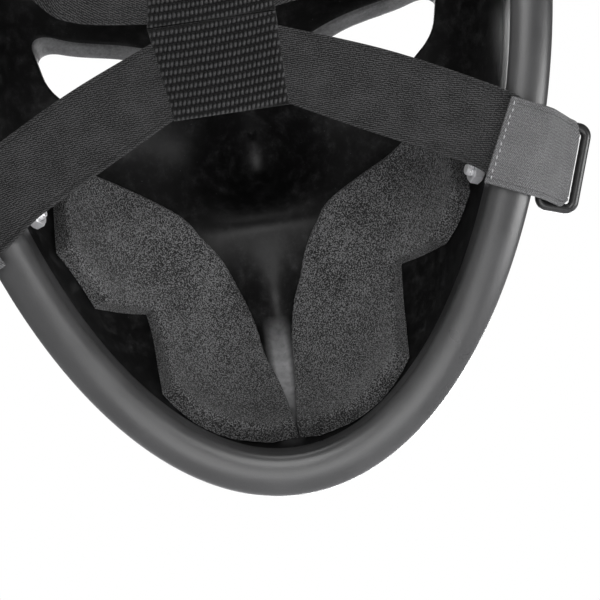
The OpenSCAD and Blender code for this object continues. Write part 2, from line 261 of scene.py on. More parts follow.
def foot_frame(level):
    """u towards the edge, w out of the wall; origin on the outer face, mid plate."""
    a = ANCHOR_ANGLE[level]
    n = wall_normal(a, SCREW_RING)
    t = mid(a, SCREW_RING + 0.01) - mid(a, SCREW_RING - 0.01)
    v = unit(t - (t @ n) * n)
    return Frame(skin(a, SCREW_RING, WALL_T / 2), v, np.cross(n, v))


def screw_frame(level, side):
    """The foot's frame, moved along the rim to where its screw goes through."""
    foot = foot_frame(level)
    return Frame(foot.at(0, -SCREW_DROP.get((level, side), 0), 0), foot.axes[0], foot.axes[1])


# -------------------- mesh helpers


def mesh_object(name, points, faces, material, body=None, crease=40, uv=None, mirror=False):
    """A closed mesh from points in millimetres, with its normals turned outwards."""
    points = np.array(points, float)
    if mirror:
        points[:, 0] *= -1
    mesh = bpy.data.meshes.new(name)
    mesh.from_pydata((points * MM).tolist(), [], faces)
    if uv is not None:
        layer = mesh.uv_layers.new(name="UVMap")
        corner = np.zeros(len(mesh.loops), np.int32)
        mesh.loops.foreach_get("vertex_index", corner)
        layer.data.foreach_set("uv", (np.array(uv)[corner] * MM).ravel())
    bm = bmesh.new()
    bm.from_mesh(mesh)
    bmesh.ops.recalc_face_normals(bm, faces=bm.faces)
    bm.to_mesh(mesh)
    bm.free()
    mesh.shade_smooth()
    mesh.set_sharp_from_angle(angle=math.radians(crease))
    mesh.materials.append(material)
    obj = bpy.data.objects.new(name, mesh)
    bpy.context.scene.collection.objects.link(obj)
    if body:
        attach(obj, body)
    return obj


def band_faces(rows, cols, first=0, closed_rows=False, closed_cols=True, caps=False):
    """Quads between successive rows of cols points; caps adds a face over each end."""
    faces = []
    for i in range(rows if closed_rows else rows - 1):
        n = (i + 1) % rows
        for j in range(cols if closed_cols else cols - 1):
            k = (j + 1) % cols
            faces.append([first + i * cols + j, first + i * cols + k,
                          first + n * cols + k, first + n * cols + j])
    if caps:
        last = first + (rows - 1) * cols
        faces += [list(range(first, first + cols)), list(range(last + cols - 1, last - 1, -1))]
    return faces


def cut_grid(rows, cols, loop, field):
    """The cells of a grid where field is above 0, cut along field = 0.

    Gives the points used as (from, to, share of the way), the faces and the cut's loops."""
    field = field.ravel()
    i, j = np.meshgrid(np.arange(rows - 1), np.arange(cols if loop else cols - 1), indexing="ij")
    k = (j + 1) % cols
    cells = np.stack([i * cols + j, i * cols + k, (i + 1) * cols + k, (i + 1) * cols + j], -1)
    cells = cells.reshape(-1, 4)
    above = field[cells] > 0
    made, links = {}, {}

    def name(p, q):
        return made.setdefault((min(p, q), max(p, q)), len(made))

    faces = [[name(p, p) for p in cell] for cell in cells[above.all(1)].tolist()]
    for cell in cells[above.any(1) & ~above.all(1)].tolist():
        face, leave, enter = [], [], []
        for p, q in zip(cell, cell[1:] + cell[:1]):
            if field[p] > 0:
                face.append(name(p, p))
            if (field[p] > 0) != (field[q] > 0):
                face.append(name(p, q))
                (leave if field[p] > 0 else enter).append(name(p, q))
        faces.append(face)
        links.update(zip(leave, enter))
    pairs = np.array(list(made))
    start, end = field[pairs[:, 0]], field[pairs[:, 1]]
    share = np.where(pairs[:, 0] == pairs[:, 1], 0, start / np.where(start == end, 1, start - end))
    loops = []
    while links:
        first, here = links.popitem()
        found = [first]
        while here != first:
            found.append(here)
            here = links.pop(here)
        loops.append(found)
    return pairs, share, faces, loops


def between(grid, pairs, share):
    grid = grid.reshape(-1, 3)
    return grid[pairs[:, 0]] + (grid[pairs[:, 1]] - grid[pairs[:, 0]]) * share[:, None]


def cut_walls(loop, strips, first, count):
    """Faces from a cut's loop across strips of points to the same loop of the other skin.

    The strips' points are numbered from first, and the other skin's are count higher."""
    n = len(loop)
    lines = [list(range(first + i * n, first + (i + 1) * n)) for i in range(len(strips))]
    lines = [list(loop), *lines, [i + count for i in loop]]
    faces = []
    for one, two in zip(lines, lines[1:]):
        faces += [list(f) for f in zip(one, one[1:] + one[:1], two[1:] + two[:1], two)]
    return faces


def outline_distance(x, z, polygon):
    """Distance of points to a closed polygon, negative inside it."""
    p = np.stack([np.ravel(x), np.ravel(z)], -1)[:, None]
    a = np.array(polygon, float)
    b = np.roll(a, -1, 0)
    t = np.clip(((p - a) * (b - a)).sum(-1) / ((b - a) ** 2).sum(-1), 0, 1)
    gap = np.linalg.norm(p - a - t[..., None] * (b - a), axis=-1).min(-1)
    rise = b[:, 1] - a[:, 1]
    steep = np.where(rise == 0, 1e-9, rise)
    level = (a[:, 1] > p[..., 1]) != (b[:, 1] > p[..., 1])
    crosses = level & (p[..., 0] < a[:, 0] + (p[..., 1] - a[:, 1]) * (b[:, 0] - a[:, 0]) / steep)
    return (gap * np.where(crosses.sum(-1) % 2, -1, 1)).reshape(np.shape(x))


def hull(points):
    """Convex hull of 2-D points, counter-clockwise."""
    found = []
    for pts in (sorted(points), sorted(points, reverse=True)):
        half = []
        for p in pts:
            while len(half) > 1 and (
                (half[-1][0] - half[-2][0]) * (p[1] - half[-2][1])
                <= (half[-1][1] - half[-2][1]) * (p[0] - half[-2][0])
            ):
                half.pop()
            half.append(p)
        found += half[:-1]
    return found


def spline(p0, p1, p2, p3, t):
    """Catmull-Rom curve from p1, where t is 0, to p2, where it is 1."""
    return 0.5 * (2 * p1 + (p2 - p0) * t + (2 * p0 - 5 * p1 + 4 * p2 - p3) * t**2
                  + (3 * p1 - p0 - 3 * p2 + p3) * t**3)


def rounded(polygon):
    """Closed smooth curve through the polygon's points; a point given twice is a corner."""
    p = np.array(polygon, float)
    curve = []
    for i in range(len(p)):
        four = p[i - 1], p[i], p[(i + 1) % len(p)], p[(i + 2) % len(p)]
        count = math.ceil(np.linalg.norm(four[2] - four[1]))
        curve += [spline(*four, t) for t in np.linspace(0, 1, count, endpoint=False)]
    return np.array(curve)


def smooth_path(stations, spacing):
    """Smooth curve through rows of numbers, the first three of which are the place."""
    s = np.array(stations, float)
    ends = np.vstack([2 * s[0] - s[1], s, 2 * s[-1] - s[-2]])
    rows = []
    for i in range(len(s) - 1):
        count = max(2, round(np.linalg.norm((s[i + 1] - s[i])[:3]) / spacing))
        rows += [spline(*ends[i : i + 4], t) for t in np.arange(count) / count]
    return np.array(rows + [s[-1]])


def ribbon(name, centres, halves, thick, material, groove=0, groove_at=1.6, step=1.2, **rest):
    """Flat strip along centres, halves being its half-width vectors, with rounded edges.

    groove is the depth of the line inside each long edge. The UVs are along and across."""
    centres, halves = np.array(centres), np.array(halves)
    width = float(np.linalg.norm(halves, axis=1).max())
    edge = thick / 2
    turn = np.radians(np.linspace(90, 0, 5))[:-1]
    side = list(width - edge + edge * np.sin(turn))
    if groove:
        side += [width - groove_at + d for d in (0.5, 0.3, 0.12, 0, -0.12, -0.3, -0.5)]
    middle = np.linspace(side[-1], -side[-1], max(3, round(2 * side[-1] / step)))[1:-1]
    across = np.array(side + list(middle) + [-v for v in reversed(side)])
    inset = width - np.abs(across)
    rise = edge * np.sqrt(np.clip(1 - (1 - np.clip(inset / edge, 0, 1)) ** 2, 0, 1))
    if groove:
        rise = rise - groove * bell((inset - groove_at) / 0.22)
    way = np.gradient(centres, axis=0)
    normal = unit(np.cross(halves, way))
    share = across / width
    flat = centres[:, None] + halves[:, None] * share[:, None]
    top = flat + normal[:, None] * rise[:, None]
    bottom = (flat - normal[:, None] * rise[:, None])[:, ::-1][:, 1:-1]
    section = np.concatenate([top, bottom], 1)
    count, cols = section.shape[:2]
    length = np.concatenate([[0], np.cumsum(np.linalg.norm(np.diff(centres, axis=0), axis=1))])
    spread = np.concatenate([across, across[::-1][1:-1]])
    uv = np.stack([np.repeat(length, cols), np.tile(spread, count)], -1)
    faces = band_faces(count, cols, caps=True)
    return mesh_object(name, section.reshape(-1, 3), faces, material, uv=uv, **rest)


def tube(points, radius, closed):
    """Points and faces of a round wire along points."""
    sides = 20
    points = np.array(points, float)
    if closed:
        way = np.roll(points, -1, 0) - np.roll(points, 1, 0)
    else:
        way = np.gradient(points, axis=0)
    way = unit(way)
    plane = unit(np.linalg.svd(points - points.mean(0))[2][2])
    if abs(plane @ way[0]) > 0.5:
        plane = unit(np.cross(way[0], [0.3, 0.5, 0.8]))
    beside = np.cross(way, plane)
    turn = np.radians(np.arange(sides) * 360 / sides)
    ring = (points[:, None] + radius * (np.cos(turn)[:, None] * beside[:, None]
                                        + np.sin(turn)[:, None] * plane))
    return ring.reshape(-1, 3), band_faces(len(points), sides, closed_rows=closed, caps=not closed)


def lathe(profile, cols, shape=None):
    """Rings of cols points for each (radius, height); shape(radius, height, turn) alters a radius."""
    turn = np.radians(np.arange(cols) * 360 / cols)
    rows = []
    for radius, height in profile:
        r = shape(radius, height, turn) if shape else np.full(cols, radius)
        rows.append(np.stack([r * np.cos(turn), r * np.sin(turn), np.full(cols, height)], -1))
    return np.concatenate(rows)


# -------------------- materials


class Look:
    """A node material around one Principled shader."""

    def __init__(self, name, **constants):
        self.material = bpy.data.materials.new(name)
        self.material.use_nodes = True
        self.tree = self.material.node_tree
        self.shader = self.tree.nodes["Principled BSDF"]
        for socket, value in constants.items():
            self.shader.inputs[socket.replace("_", " ")].default_value = value
        self.coordinates = self.tree.nodes.new("ShaderNodeTexCoord")

    def node(self, kind, **inputs):
        made = self.tree.nodes.new("ShaderNode" + kind)
        for name, value in inputs.items():
            self.put(made.inputs[name.replace("_", " ")], value)
        return made

    def put(self, socket, value):
        if isinstance(value, bpy.types.NodeSocket):
            self.tree.links.new(value, socket)
        else:
            socket.default_value = value

    def place(self, space="Object", turn=0):
        mapping = self.node("Mapping", Vector=self.coordinates.outputs[space], Rotation=(0, 0, turn))
        return mapping.outputs["Vector"]

    def noise(self, size, detail=3, vector=None, roughness=0.55):
        """Noise whose features are about size millimetres across."""
        made = self.node("TexNoise", Vector=vector or self.place(), Scale=1000 / size,
                         Detail=detail, Roughness=roughness)
        return made.outputs["Fac"]

    def wave(self, pitch, vector, direction="X", distort=0.0):
        """Bands whose pitch is in millimetres."""
        made = self.node("TexWave", Vector=vector, Scale=1000 / pitch / 10 * math.pi,
                         Distortion=distort)
        made.bands_direction = direction
        return made.outputs["Fac"]

    def math(self, operation, a, b=0.0):
        made = self.tree.nodes.new("ShaderNodeMath")
        made.operation = operation
        self.put(made.inputs[0], a)
        self.put(made.inputs[1], b)
        return made.outputs[0]

    def add(self, *terms):
        total = terms[0]
        for term in terms[1:]:
            total = self.math("ADD", total, term)
        return total

    def times(self, a, b):
        return self.math("MULTIPLY", a, b)

    def span(self, value, low, high, out_low, out_high):
        made = self.node("MapRange", Value=value, From_Min=low, From_Max=high, To_Min=out_low,
                         To_Max=out_high)
        return made.outputs["Result"]

    def grey(self, value, low, high, out_dark, out_light):
        """Colour from dark to light grey as value goes from low to high."""
        ramp = self.tree.nodes.new("ShaderNodeValToRGB")
        self.put(ramp.inputs["Fac"], self.span(value, low, high, 0, 1))
        for element, level in zip(ramp.color_ramp.elements, (out_dark, out_light)):
            element.color = (level, level, level * 1.02, 1)
        return ramp.outputs["Color"]

    def bump(self, height, distance, normal=None):
        """distance is the height of a full step of the texture, in millimetres."""
        made = self.node("Bump", Height=height, Distance=distance * MM)
        if normal:
            self.put(made.inputs["Normal"], normal)
        return made.outputs["Normal"]

    def connect(self, **values):
        for socket, value in values.items():
            self.put(self.shader.inputs[socket.replace("_", " ")], value)
        return self.material


def shell_look():
    """Satin wall with scuffs and dust, and a painted highlight: a paler strip along the chin keel."""
    look = Look("moulded_shell_gloss", Specular_IOR_Level=0.2)
    swell = look.noise(16, 2)
    dimple = look.noise(2.2, 4)
    scuff = look.math("POWER", look.noise(5, 6, roughness=0.75), 5)
    dust = look.span(look.noise(0.9, 2, roughness=0.5), 0.74, 0.8, 0, 0.5)
    # Painted highlight: a paler strip down the inside of the chin keel, where light catches it
    x, _, z = look.node("SeparateXYZ", Vector=look.place()).outputs
    beside = look.math("ABSOLUTE", look.math("SUBTRACT", x, KEEL_HIGHLIGHT_X * MM))
    from_middle = look.math("ABSOLUTE", look.math("SUBTRACT", z, KEEL_HIGHLIGHT_Z * MM))
    keel = look.times(look.span(beside, 2 * MM, 5 * MM, 2.2, 0),
                      look.span(from_middle, 4 * MM, 21 * MM, 1, 0))
    painted_keel_highlight = look.times(keel, look.span(look.noise(3, 4), 0.3, 0.6, 0.6, 1))
    # Real scuffs and dust, together with the painted keel highlight
    marks_and_highlight = look.add(scuff, dust, painted_keel_highlight)
    colour = look.grey(marks_and_highlight, 0.02, 2.4, 0.003, 0.3)
    rough = look.span(look.add(marks_and_highlight, look.times(dimple, 0.1)), 0.02, 0.2, 0.34, 0.5)
    normal = look.bump(dimple, 0.05, look.bump(swell, 0.4))
    return look.connect(Base_Color=colour, Roughness=rough, Normal=normal)


def lit_cut_edge_look():
    """Sanded faces of the eye openings, painted a lighter grey than the wall as painted light from behind
    the mask.
    """
    look = Look("sanded_opening_edge_painted_light", Specular_IOR_Level=0.5)
    sanding = look.noise(1.2, 4, roughness=0.7)
    blotch = look.noise(9, 3)
    tone = look.add(sanding, look.times(blotch, 0.8))
    # Lighter grey than the wall: painted light from behind the openings, over the sanding's uneven tone
    return look.connect(Base_Color=look.grey(tone, 0.6, 1.15, 0.03, 0.13),
                        Roughness=look.span(sanding, 0.3, 0.7, 0.4, 0.6), Normal=look.bump(sanding, 0.08))


def rubber_look():
    look = Look("satin_edge_rubber", Specular_IOR_Level=0.5)
    bloom = look.noise(22, 3)
    grain = look.noise(0.45, 3)
    colour = look.grey(look.add(bloom, look.times(grain, 0.35)), 0.4, 0.9, 0.025, 0.041)
    rough = look.span(bloom, 0.3, 0.7, 0.27, 0.36)
    return look.connect(Base_Color=colour, Roughness=rough, Normal=look.bump(grain, 0.03))


def foam_look():
    look = Look("charcoal_foam", Specular_IOR_Level=0.2, Sheen_Weight=0.1, Sheen_Roughness=0.7)
    cells = look.node("TexVoronoi", Vector=look.place(), Scale=1000 / 0.6).outputs["Distance"]
    speckle = look.noise(0.42, 2, roughness=0.5)
    blotch = look.noise(14, 2)
    colour = look.grey(look.add(look.times(speckle, 0.9), look.times(blotch, 0.12)),
                       0.47, 0.6, 0.001, 0.145)
    normal = look.bump(speckle, 0.35, look.bump(cells, 0.25))
    return look.connect(Base_Color=colour, Roughness=look.span(speckle, 0.3, 0.7, 0.85, 1), Normal=normal)


def elastic_look(name, dark, light, twill=0.62, turn=1.15):
    """Woven elastic: fine slanted floats over rubber ribs that run along the strap."""
    look = Look(name, Specular_IOR_Level=0.2, Sheen_Weight=0.08, Sheen_Roughness=0.45)
    uv = look.place("UV")
    floats = look.wave(twill, look.place("UV", turn=turn), distort=0.6)
    ribs = look.wave(0.9, uv, "Y", distort=0.4)
    picks = look.wave(0.5, uv, "X", distort=0.8)
    fuzz = look.noise(0.42, 3, uv, roughness=0.6)
    wear = look.noise(9, 2, uv)
    weave = look.add(look.times(floats, 0.55), look.times(ribs, 0.2), look.times(picks, 0.15))
    tone = look.add(look.times(weave, 0.6), look.times(fuzz, 1.6), look.times(wear, 0.3))
    colour = look.grey(tone, 1.12, 1.42, dark, light)
    normal = look.bump(fuzz, 0.16, look.bump(weave, 0.16))
    return look.connect(Base_Color=colour, Roughness=look.span(fuzz, 0.3, 0.7, 0.72, 0.9), Normal=normal)


def knit_look():
    """Yarn in rows of slanted stitches; the UV map counts stitches and rows."""
    look = Look("knitted_patch_yarn", Specular_IOR_Level=0.2, Sheen_Weight=0.05, Sheen_Roughness=0.5)
    strand = look.noise(0.5, 4, roughness=0.7)
    count = look.node("SeparateXYZ", Vector=look.coordinates.outputs["UV"]).outputs
    wander = look.times(look.noise(1.6, 3), 0.9)

    def bands(number):
        """0 between the rows or stitches and 1 on them, its way there a little uneven."""
        return look.math("ABSOLUTE", look.math("SINE", look.add(wander, look.times(number, math.pi / MM))))

    yarn = look.times(look.math("POWER", bands(count["Y"]), 2), look.math("POWER", bands(count["X"]), 1.2))
    tone = look.add(yarn, look.times(strand, 1.6))
    colour = look.grey(tone, 1.0, 1.75, 0.0005, 0.05)
    return look.connect(Base_Color=colour, Roughness=look.span(strand, 0.3, 0.7, 0.75, 0.95),
                        Normal=look.bump(tone, 0.25))


def thread_look():
    look = Look("pale_stitch_thread", Specular_IOR_Level=0.35, Sheen_Weight=0.2)
    strand = look.noise(0.3, 3)
    return look.connect(Base_Color=look.grey(strand, 0.3, 0.7, 0.16, 0.34),
                        Roughness=look.span(strand, 0.3, 0.7, 0.6, 0.8), Normal=look.bump(strand, 0.05))


def black_metal_look(name, low, high):
    """Painted steel, its paint a little uneven."""
    look = Look(name, Specular_IOR_Level=0.4)
    flow = look.noise(3, 3)
    speck = look.math("POWER", look.noise(0.8, 5, roughness=0.7), 6)
    colour = look.grey(speck, 0.02, 0.1, 0.010, 0.03)
    rough = look.span(flow, 0.3, 0.7, low, high)
    return look.connect(Base_Color=colour, Roughness=rough, Normal=look.bump(flow, 0.04))


def zinc_look():
    look = Look("bright_zinc", Metallic=0.45)
    grain = look.noise(0.5, 4)
    cloud = look.noise(2.5, 2)
    colour = look.grey(cloud, 0.3, 0.7, 0.7, 0.95)
    return look.connect(Base_Color=colour, Roughness=look.span(grain, 0.3, 0.7, 0.35, 0.45),
                        Normal=look.bump(grain, 0.015))


SHELL_GLOSS = shell_look()
CUT_EDGE_PAINTED_LIGHT = lit_cut_edge_look()
RUBBER = rubber_look()
FOAM = foam_look()
ELASTIC = elastic_look("black_elastic", 0.001, 0.046)
LOOP_FACE = elastic_look("grey_loop_face", 0.06, 0.145, twill=0.5, turn=0.35)
KNIT = knit_look()
THREAD = thread_look()
PLATE_PAINT = black_metal_look("black_satin_steel", 0.3, 0.42)
WIRE_PAINT = black_metal_look("black_gloss_wire", 0.28, 0.36)
ZINC = zinc_look()


# -------------------- shell


def eye_field(p):
    """Distance outside the eye openings' slanted prisms."""
    around = [i * math.tau / 64 for i in range(64)]
    outline = hull([(x + r * math.cos(t), z + r * math.sin(t)) for x, z, r in EYE_CIRCLES for t in around])
    z = p[..., 2] - EYE_SLANT * (p[..., 1] - EYE_SURFACE_Y)
    return outline_distance(np.abs(p[..., 0]), z, outline)


def screw_field(p):
    """Distance outside the four screw holes."""
    gaps = []
    for level in LEVELS:
        for side in SIDES:
            f = screw_frame(level, side)
            offset = p * ([1, 1, 1] if side == "left" else [-1, 1, 1]) - f.origin
            axial = offset @ f.axes[2]
            gaps.append(np.linalg.norm(offset - axial[..., None] * f.axes[2], axis=-1))
    return np.min(gaps, 0) - SCREW_D / 2 - HOLE_GAP


def shell_field(p):
    return np.minimum(eye_field(p) - EYE_ROUND, screw_field(p) - HOLE_ROUND)


def shell():
    angles, rings = 360, 96
    a, s = np.meshgrid(np.arange(angles) * 360 / angles,
                       np.sin(np.radians(90 * np.arange(1, rings + 1) / rings)))
    normal = wall_normal(a, s)
    half = WALL_T / 2
    inner = mid(a, s) - half * normal
    outer = mid(a, s) + half * normal

    # Near an eye the outer skin slides along the slant, so that the two skins' cuts face each other
    through = unit(np.array([0, -1, -EYE_SLANT]))
    far_off, close_by = 14, 3
    near = ease((far_off - eye_field(inner)) / (far_off - close_by))[..., None]
    way = unit((1 - near) * normal + near * through)
    moved = near[..., 0] > 0
    goal, d = inner[moved], way[moved]
    turn, ring, reach = a[moved].astype(float), s[moved].copy(), np.full(moved.sum(), WALL_T * 1.1)
    turn_step, ring_step = 0.05, 0.0005
    for _ in range(6):
        here = skin(turn, ring, half)
        miss = goal + reach[:, None] * d - here
        by_turn = (skin(turn + turn_step, ring, half) - here) / turn_step
        by_ring = (skin(turn, ring + ring_step, half) - here) / ring_step
        step = np.linalg.solve(np.stack([by_turn, by_ring, -d], -1), miss[..., None])[..., 0]
        turn, ring, reach = turn + step[:, 0], ring + step[:, 1], reach + step[:, 2]
    outer[moved] = skin(turn, ring, half)
    outer_normal = normal.copy()
    outer_normal[moved] = wall_normal(turn, ring)

    pairs, share, faces, loops = cut_grid(rings, angles, True, shell_field(inner))
    inner_points = between(inner, pairs, share)
    outer_points = between(outer, pairs, share)
    inner_up = unit(between(normal, pairs, share))
    outer_up = unit(between(outer_normal, pairs, share))
    ways = unit(between(way, pairs, share))
    count = len(pairs)
    points = [inner_points, outer_points]
    faces = faces + [[i + count for i in reversed(f)] for f in faces]

    # Caps at the pole, and the edge under the trim
    names = {tuple(p): i for i, p in enumerate(pairs.tolist()) if p[0] == p[1]}
    pole = mid(0.0, 0.001)
    points.append(np.array([pole + [0, half, 0], pole - [0, half, 0]]))
    rim = (rings - 1) * angles
    for i in range(angles):
        k = (i + 1) % angles
        p, q = names[(i, i)], names[(k, k)]
        faces += [[2 * count, q, p], [2 * count + 1, p + count, q + count]]
        p, q = names[(rim + i, rim + i)], names[(rim + k, rim + k)]
        faces.append([p, q, q + count, p + count])

    # Rounded lips of the openings
    total = 2 * count + 2
    cut_faces = []
    for loop in loops:
        b, c = inner_points[loop], outer_points[loop]
        eye = (eye_field(b) < 2 * EYE_ROUND).all()
        r, steps = (EYE_ROUND, 6) if eye else (HOLE_ROUND, 2)

        def inwards(p, up):
            slope = np.stack([shell_field(p + e) - shell_field(p - e) for e in np.eye(3) * 0.05], -1)
            return -unit(slope - (slope * up).sum(-1, keepdims=True) * up)

        rows = []
        for base, up, sign in ((b, inner_up[loop], 1), (c, outer_up[loop], -1)):
            t = inwards(base, up)
            lip = [base + r * (t * math.sin(f) + sign * ways[loop] * (1 - math.cos(f)))
                   for f in np.radians(90 * np.arange(1, steps + 1) / steps)]
            rows.append(lip)
        wall = [rows[0][-1] + (rows[1][-1] - rows[0][-1]) * i / 4 for i in (1, 2, 3)]
        strips = rows[0] + wall + rows[1][::-1]
        walls = cut_walls(loop, strips, total, count)
        if eye:
            cut_faces += range(len(faces) + steps // 2 * len(loop), len(faces) + len(walls))
        faces += walls
        points += strips
        total += len(strips) * len(loop)
    obj = mesh_object("moulded_shell", np.concatenate(points), faces, SHELL_GLOSS, "mask", crease=60)
    # The eye openings' lips get the lighter material, which is painted light from behind
    obj.data.materials.append(CUT_EDGE_PAINTED_LIGHT)
    for index in cut_faces:
        obj.data.polygons[index].material_index = 1
    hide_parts("shell")


# -------------------- edge trim


def edge_trim():
    """Rubber channel round the wall's edge, its two ends meeting at the top."""
    angles = 480
    full, almost_edge = TRIM_W / 2, 0.9999
    a = np.arange(angles) * 360 / angles
    ring_mid = math.sin(math.radians(85))
    to_edge = unit(mid(a, 1.0) - mid(a, ring_mid))
    down = unit(mid(a, TRIM_LEG_RING) - mid(a, TRIM_LEG_RING + 0.002))
    rows = []

    def leg(off, ring):
        rows.append(skin(a, ring, off))

    def leg_end(sign):
        centre, radius = (full - 1 + TRIM_SLOT) / 2, (full - 1 - TRIM_SLOT) / 2
        turns = np.radians(np.linspace(0, 180, 7))
        for t in turns if sign > 0 else turns[::-1]:
            off = sign * (centre + radius * math.cos(t))
            rows.append(skin(a, TRIM_LEG_RING, off) + 0.8 * radius * math.sin(t) * down)

    shares = (0.25, 0.5, 0.75)
    for t in (0.92, *reversed(shares), 0.1):
        leg(-TRIM_SLOT, TRIM_LEG_RING + (almost_edge - TRIM_LEG_RING) * t)
    leg_end(-1)
    for t in (0.2, 0.5, 0.8, 1):
        leg(-(full - 1 + ease(t)), TRIM_LEG_RING + (ring_mid - TRIM_LEG_RING) * t)
    for t in (0.35, 0.7):
        leg(-full, ring_mid + (1 - ring_mid) * t)
    joint_w, joint_d = 0.35, 0.45
    joint = bell(np.minimum(np.abs(a - 90), 360 - np.abs(a - 90)) / joint_w)
    for t in np.radians(np.linspace(-90, 90, 25)):
        off, lift = full * math.sin(t), TRIM_CROWN * math.cos(t)
        rows.append(skin(a, 1, off * 0.995) + (lift - joint_d * joint * math.cos(t))[:, None] * to_edge)
    for t in (0.7, 0.35):
        leg(full, ring_mid + (1 - ring_mid) * t)
    for t in (1, 0.8, 0.5, 0.2):
        leg(full - 1 + ease(t), TRIM_LEG_RING + (ring_mid - TRIM_LEG_RING) * t)
    leg_end(1)
    for t in (0.1, *shares, 0.92):
        leg(TRIM_SLOT, TRIM_LEG_RING + (almost_edge - TRIM_LEG_RING) * t)
    for off in (TRIM_SLOT, -TRIM_SLOT):
        rows.append(skin(a, 1, off) + 0.1 * to_edge)
    points = np.stack(rows)
    faces = band_faces(len(rows), angles, closed_rows=True)
    obj = mesh_object("rubber_edge_trim", points.reshape(-1, 3), faces, RUBBER, "mask", crease=50)
    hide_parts("edge_trim")


# -------------------- pads


def foam_pad(name, node, outline, mirror=False):
    """Foam sheet glued to the wall's inside; outline is in x and z of the mid wall."""
    grid, edge = 0.55, 1.3
    polygon = rounded(outline)
    low, high = polygon.min(0) - 2, polygon.max(0) + 2
    x, z = np.meshgrid(np.arange(low[0], high[0], grid), np.arange(low[1], high[1], grid))
    field = -outline_distance(x, z, polygon)
    back = -(WALL_T / 2 + GLUE_T)
    fall = edge * (1 - np.sqrt(np.clip(1 - (1 - np.clip(field / edge, 0, 1)) ** 2, 0, 1)))
    pairs, share, faces, loops = cut_grid(*x.shape, False, field)
    front = between(on_wall(x, z, back - PAD_T + fall), pairs, share)
    rear = between(on_wall(x, z, back), pairs, share)
    count = len(pairs)
    points = [front, rear]
    faces = faces + [[i + count for i in reversed(f)] for f in faces]
    total = 2 * count
    for loop in loops:
        strips = [front[loop] + (rear[loop] - front[loop]) * t for t in (0.3, 0.6, 0.85)]
        faces += cut_walls(loop, strips, total, count)
        points += strips
        total += len(strips) * len(loop)
    obj = mesh_object(name, np.concatenate(points), faces, FOAM, "mask", crease=60, mirror=mirror)
    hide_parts(node)


# Inner edges of the cheek pads in x and z of the mid wall, from the chin up beside the nose
CHEEK_INNER = {
    "left": [(-1.4, -113), (0.6, -107), (5.6, -97), (10.4, -86), (12.4, -74), (15.2, -62), (18, -50),
             (22, -43), (30, -34), (41, -25.5), (52, -19), (62, -14)],
    "right": [(1.8, -113), (3.4, -104), (6.2, -93), (7.4, -82), (9.8, -70), (12.9, -59), (15, -48),
              (19.6, -40), (27.5, -34), (38.5, -27.5), (50, -22), (62, -14)],
}


def cheek_pad(side, notch_z):
    """Band beside the middle plane with a lobe over the cheek and a notch under it."""
    outer = [(62, -14), (67, -16), (70, -22), (70.6, -31), (70.8, -40), (70.8, -40), (66, -49),
             (61, notch_z + 3.5), (61, notch_z + 3.5), (53, notch_z + 1), (45.5, notch_z - 0.5),
             (45.5, notch_z - 0.5), (44.4, -72), (43.8, -82), (43, -91), (43, -91), (38.4, -97),
             (31, -104), (21, -109.6), (9, -113), (9, -113)]
    foam_pad("foam_cheek_pad_" + side, "cheek_pad_" + side,
             CHEEK_INNER[side][:1] + CHEEK_INNER[side] + outer, mirror=side == "right")


def forehead_pad():
    right = [(46, 80), (52, 84), (50, 98), (38, 106), (26, 109)]
    foam_pad("foam_forehead_pad", "forehead_pad", right + [(-x, z) for x, z in reversed(right)])


# -------------------- harness


def strap(level, side):
    """Woven elastic from the patch over the trim, drawn on the wearer's left."""
    s = 1 if side == "left" else -1
    lower = level == "lower"
    edge = edge_frame(level)
    at_rim, rise = STRAP_LINE.get((level, side), (0, 0))
    over = TRIM_CROWN + STRAP_T / 2 + 0.8

    def at_edge(u, v):
        return edge.at(u, v, at_rim - rise * u)

    def upright(lean):
        return unit(np.array([lean, 0, 1.0])) * STRAP_W / 2

    half = unit(edge.along(rise, 0, 1)) * STRAP_W / 2
    lean = (1.6 if lower else -1.6) if s > 0 else 0
    start = np.array([s * PATCH_X + PATCH_W / 2 - 2, PATCH_Y, 6.4 if lower else 34.7], float)
    rest = at_edge(-14, over)
    stations = [(start, np.array([lean, 0, STRAP_W / 2 - 0.7]))]
    if lower:
        half_way = (start + rest) / 2
        half_way[1:] = PATCH_Y - 0.5, start[2] + (rest[2] - start[2]) * 0.47
        stations.append((half_way, upright(0.47)))
    else:
        stations += [(start + [20.5, 0, 3.8], upright(-0.36)), (start + [28.5, -0.5, 10], upright(-0.75))]
    stations += [(rest, half), (at_edge(-4, over), half), (at_edge(4.5, over - 1), half)]
    path = smooth_path([np.concatenate(st) for st in stations], 1.2)
    name = f"{level}_{side}"
    obj = ribbon("woven_strap_" + name, path[:, :3], path[:, 3:], STRAP_T, ELASTIC, groove=0.3,
                 groove_at=1.5, mirror=s < 0)
    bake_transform(obj)
    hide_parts("strap_" + name)


def place(p, s):
    """A point in metres, mirrored where s is -1, on the wearer's right."""
    return (p[0] * s * MM, p[1] * MM, p[2] * MM)


